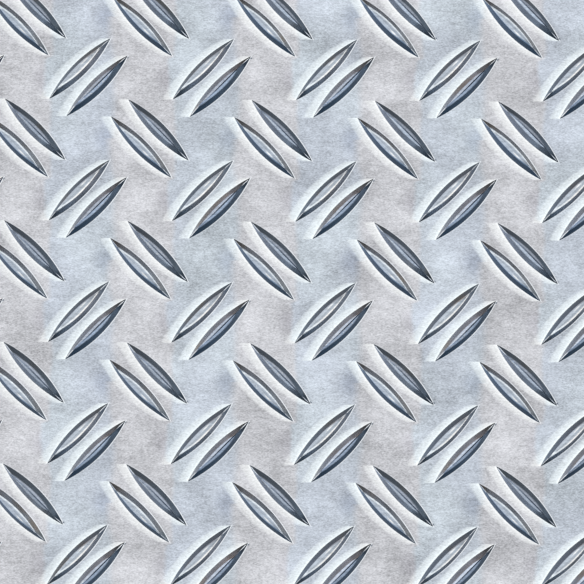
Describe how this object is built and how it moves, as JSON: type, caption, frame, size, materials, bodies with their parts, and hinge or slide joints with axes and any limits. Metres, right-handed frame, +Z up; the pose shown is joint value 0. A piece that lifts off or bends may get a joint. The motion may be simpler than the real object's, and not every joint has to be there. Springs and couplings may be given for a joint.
{
  "type": "aluminium tread plate panel",
  "caption": "Flat rectangular aluminium tread plate panel with raised lens-shaped bars in pairs, set alternately at plus and minus 45 degrees.",
  "frame": {"origin": "centre of the flat back", "axes": "+X along the rolling direction and the long side, +Y across it, +Z up out of the tread"},
  "size_m": [0.2, 0.15, 0.004],
  "materials": {
    "rolled_aluminium": "matt rolled plate with a fine grain along X, brighter burnished bands beside the bars and smooth bar sides"
  },
  "bodies": {
    "root": {"tread_sheet": "rolled_aluminium"}
  },
  "joints": []
}
